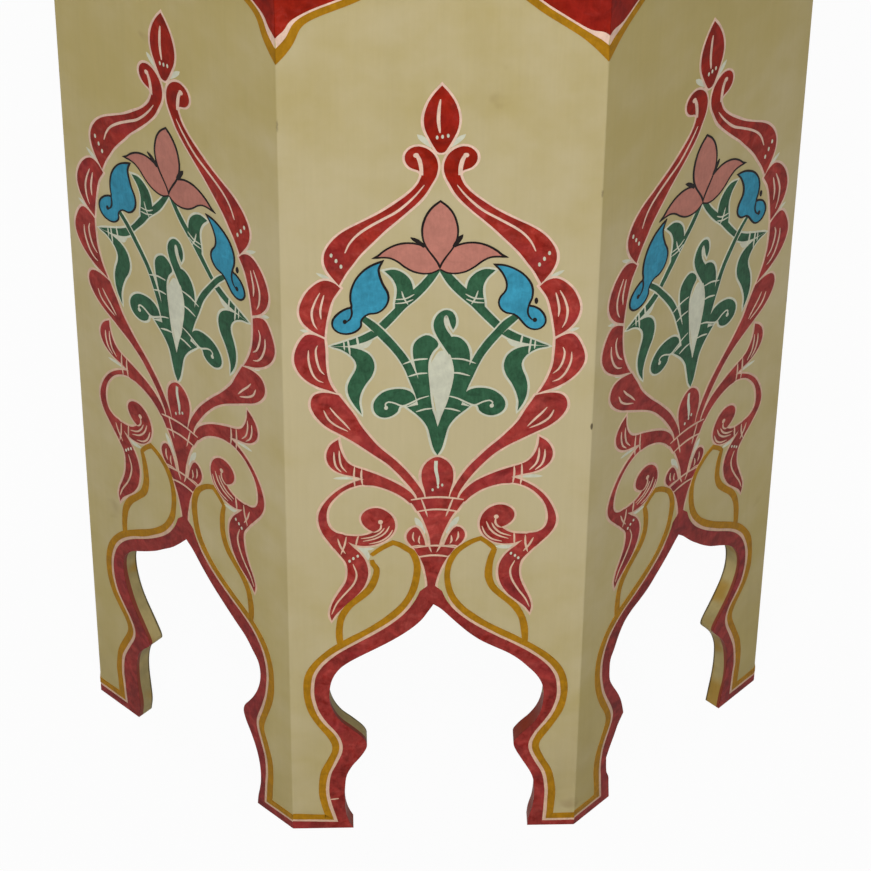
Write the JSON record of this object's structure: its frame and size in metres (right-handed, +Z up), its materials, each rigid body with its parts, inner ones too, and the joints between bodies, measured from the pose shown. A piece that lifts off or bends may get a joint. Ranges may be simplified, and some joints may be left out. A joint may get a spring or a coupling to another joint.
{
  "type": "octagonal side table",
  "caption": "Octagonal side table of painted wood: mitred side panels with ogee-arched feet and floral ornament carry an overhanging boarded top.",
  "frame": {"origin": "on the floor under the centre of the octagonal body", "axes": "+Z up through the centre of the top, -Y out of the front panel, +X to the right of it"},
  "size_m": [0.43, 0.43, 0.6],
  "materials": {
    "panel_paint": "worn satin cream paint with ornament",
    "top_paint": "worn satin red paint with ornament",
    "bare_wood": "unpainted sawn wood",
    "nail_iron": "dull wrought iron"
  },
  "bodies": {
    "root": {"batten_left": "bare_wood", "batten_nails": "nail_iron", "batten_right": "bare_wood", "cleat_back": "bare_wood", "cleat_back_left": "bare_wood", "cleat_back_right": "bare_wood", "cleat_front": "bare_wood", "cleat_front_left": "bare_wood", "cleat_front_right": "bare_wood", "cleat_left": "bare_wood", "cleat_right": "bare_wood", "cleat_side_nails": "nail_iron", "cleat_top_nails": "nail_iron", "corner_block_1": "bare_wood", "corner_block_2": "bare_wood", "corner_block_3": "bare_wood", "corner_block_4": "bare_wood", "corner_block_5": "bare_wood", "corner_block_6": "bare_wood", "corner_block_7": "bare_wood", "corner_block_8": "bare_wood", "side_panel_back": "panel_paint", "side_panel_back_left": "panel_paint", "side_panel_back_right": "panel_paint", "side_panel_front": "panel_paint", "side_panel_front_left": "panel_paint", "side_panel_front_right": "panel_paint", "side_panel_left": "panel_paint", "side_panel_right": "panel_paint", "top_board_back": "top_paint", "top_board_front": "top_paint", "top_board_middle": "top_paint"}
  },
  "joints": []
}
